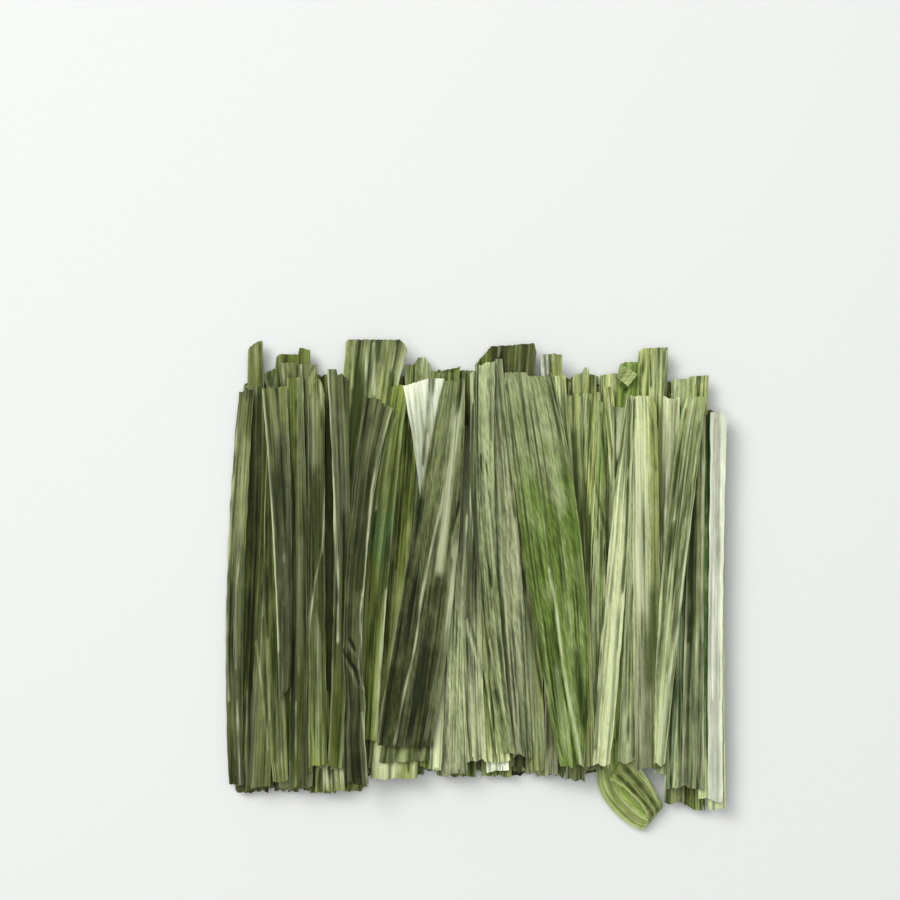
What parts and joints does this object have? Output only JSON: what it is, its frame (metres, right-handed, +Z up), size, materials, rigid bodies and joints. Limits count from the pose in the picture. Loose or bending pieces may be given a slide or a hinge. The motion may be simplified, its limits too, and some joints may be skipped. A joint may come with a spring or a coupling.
{
  "type": "dried pandan leaf bunch",
  "caption": "Flat bunch of dried pandan leaf strips lying side by side in crossing layers, with pleated blades, ragged cut ends and one end curled back on itself.",
  "frame": {"origin": "on the surface that the bunch lies on, under the middle of its outline", "axes": "+X across the bunch from its left edge to its right edge, +Y along the leaves towards their top ends, +Z up out of the surface"},
  "size_m": [0.1856, 0.181, 0.0205],
  "materials": {
    "grey_olive_leaf": "matte",
    "olive_leaf": "matte",
    "light_olive_leaf": "matte",
    "dark_olive_leaf": "matte",
    "pale_sage_leaf": "matte",
    "cream_leaf": "matte",
    "sage_leaf": "matte",
    "bright_green_leaf": "matte",
    "teal_green_leaf": "matte",
    "deep_green_leaf": "matte"
  },
  "bodies": {
    "root": {"under_layer_1": "grey_olive_leaf", "under_layer_2": "olive_leaf", "under_layer_3": "light_olive_leaf", "left_edge_leaf": "light_olive_leaf", "left_dark_leaf": "dark_olive_leaf", "pale_edged_leaf": "olive_leaf", "lower_olive_leaf": "olive_leaf", "light_footed_leaf": "olive_leaf", "narrow_olive_leaf": "olive_leaf", "folded_tip_leaf": "light_olive_leaf", "pale_ridged_leaf": "grey_olive_leaf", "short_pale_end": "pale_sage_leaf", "tall_broad_leaf": "light_olive_leaf", "buckled_leaf": "dark_olive_leaf", "green_leaf": "olive_leaf", "olive_middle_leaf": "olive_leaf", "cream_leaf": "cream_leaf", "broad_dark_leaf": "dark_olive_leaf", "under_foot_leaf": "olive_leaf", "pale_broad_end": "pale_sage_leaf", "grey_sage_leaf": "sage_leaf", "pale_green_leaf": "pale_sage_leaf", "olive_sage_leaf": "sage_leaf", "short_cream_end": "cream_leaf", "narrow_leaf": "sage_leaf", "middle_grey_leaf": "grey_olive_leaf", "middle_pale_leaf": "pale_sage_leaf", "light_olive_leaf": "light_olive_leaf", "grey_green_leaf": "grey_olive_leaf", "broad_green_leaf": "bright_green_leaf", "upper_olive_leaf": "olive_leaf", "dark_grey_leaf": "dark_olive_leaf", "sage_leaf": "sage_leaf", "mint_leaf": "teal_green_leaf", "green_sage_leaf": "sage_leaf", "dark_green_leaf": "deep_green_leaf", "small_sage_leaf": "sage_leaf", "pale_yellow_leaf": "pale_sage_leaf", "streaked_leaf": "light_olive_leaf", "round_cornered_leaf": "pale_sage_leaf", "pale_leaf": "pale_sage_leaf", "dark_crossing_leaf": "dark_olive_leaf", "teal_leaf": "teal_green_leaf", "striped_dark_leaf": "dark_olive_leaf", "edge_green_leaf": "deep_green_leaf", "right_edge_leaf": "cream_leaf", "pale_foot_leaf": "pale_sage_leaf", "dark_foot_leaf": "dark_olive_leaf", "left_back_leaf": "olive_leaf", "dark_back_leaf": "dark_olive_leaf", "small_back_leaf": "grey_olive_leaf", "pale_back_leaf": "sage_leaf", "olive_back_leaf": "olive_leaf", "dark_flap_leaf": "dark_olive_leaf", "ragged_back_leaf": "grey_olive_leaf", "green_back_leaf": "bright_green_leaf", "right_folded_tip": "bright_green_leaf", "tall_back_leaf": "light_olive_leaf", "right_back_leaf": "olive_leaf", "curled_leaf": "light_olive_leaf"}
  },
  "joints": []
}
